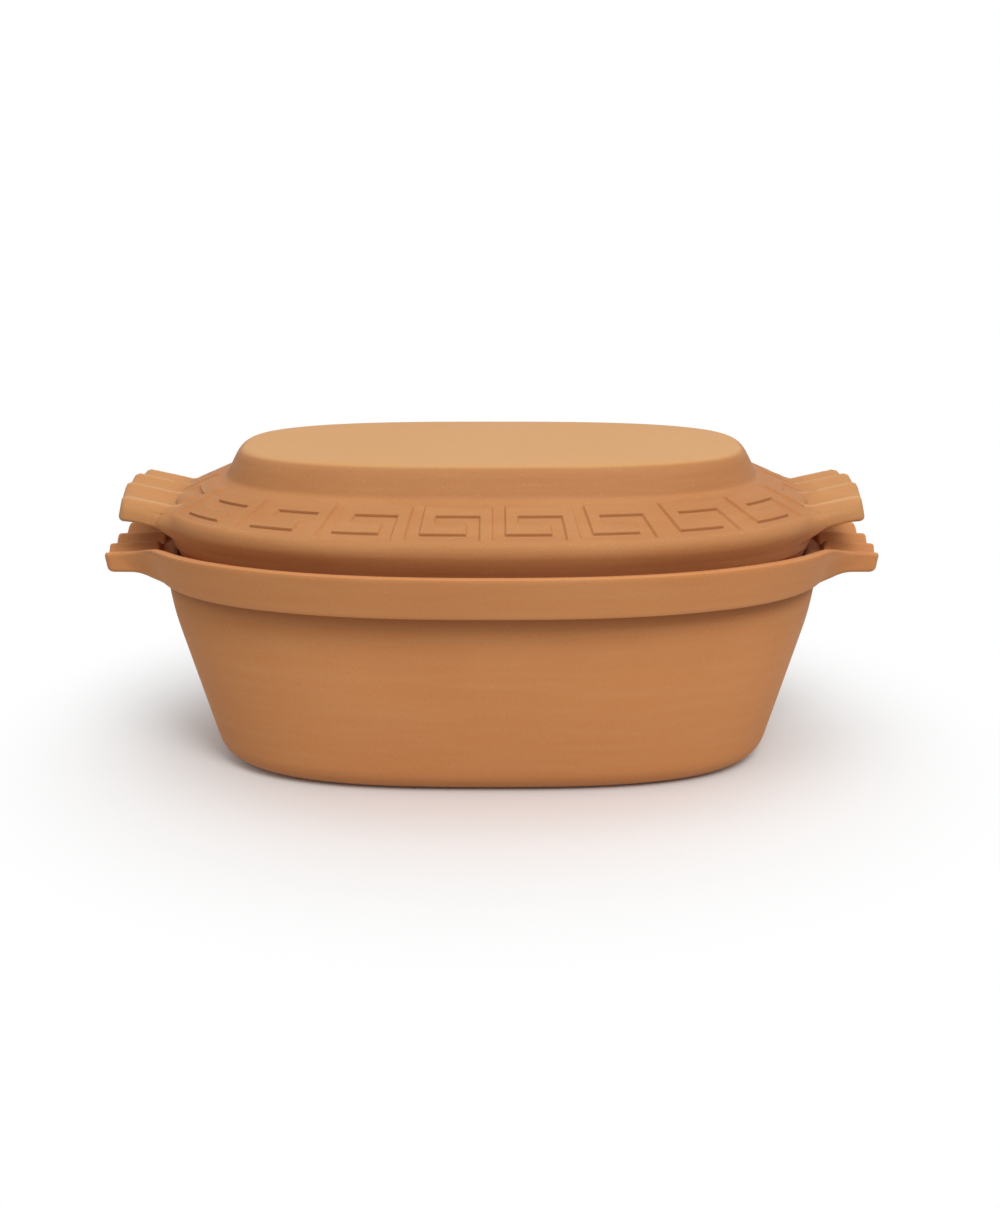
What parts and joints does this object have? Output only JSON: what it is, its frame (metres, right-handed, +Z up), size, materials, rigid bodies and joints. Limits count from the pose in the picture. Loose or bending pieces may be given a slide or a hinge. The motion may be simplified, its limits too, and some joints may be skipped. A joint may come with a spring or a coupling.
{
  "type": "clay roaster",
  "caption": "Oval roaster of unglazed terracotta: a deep tub with an overhanging rim, and a domed lid with a flat top, a raised meander frieze and fluted lugs at its ends.",
  "frame": {"origin": "middle of the flat underside of the base", "axes": "+X along the length towards one pair of lugs, +Y across the width, +Z up"},
  "size_m": [0.3864, 0.2212, 0.1573],
  "materials": {
    "terracotta_base": "matte unglazed fired clay",
    "terracotta_lid": "matte unglazed fired clay"
  },
  "bodies": {
    "base": {"base": "terracotta_base"},
    "lid": {"lid": "terracotta_lid"}
  },
  "joints": [
    {"name": "lid_lift", "type": "slide", "parent": "base", "child": "lid", "axis": [0, 0, 1], "range_m": [0, 0.2]}
  ]
}
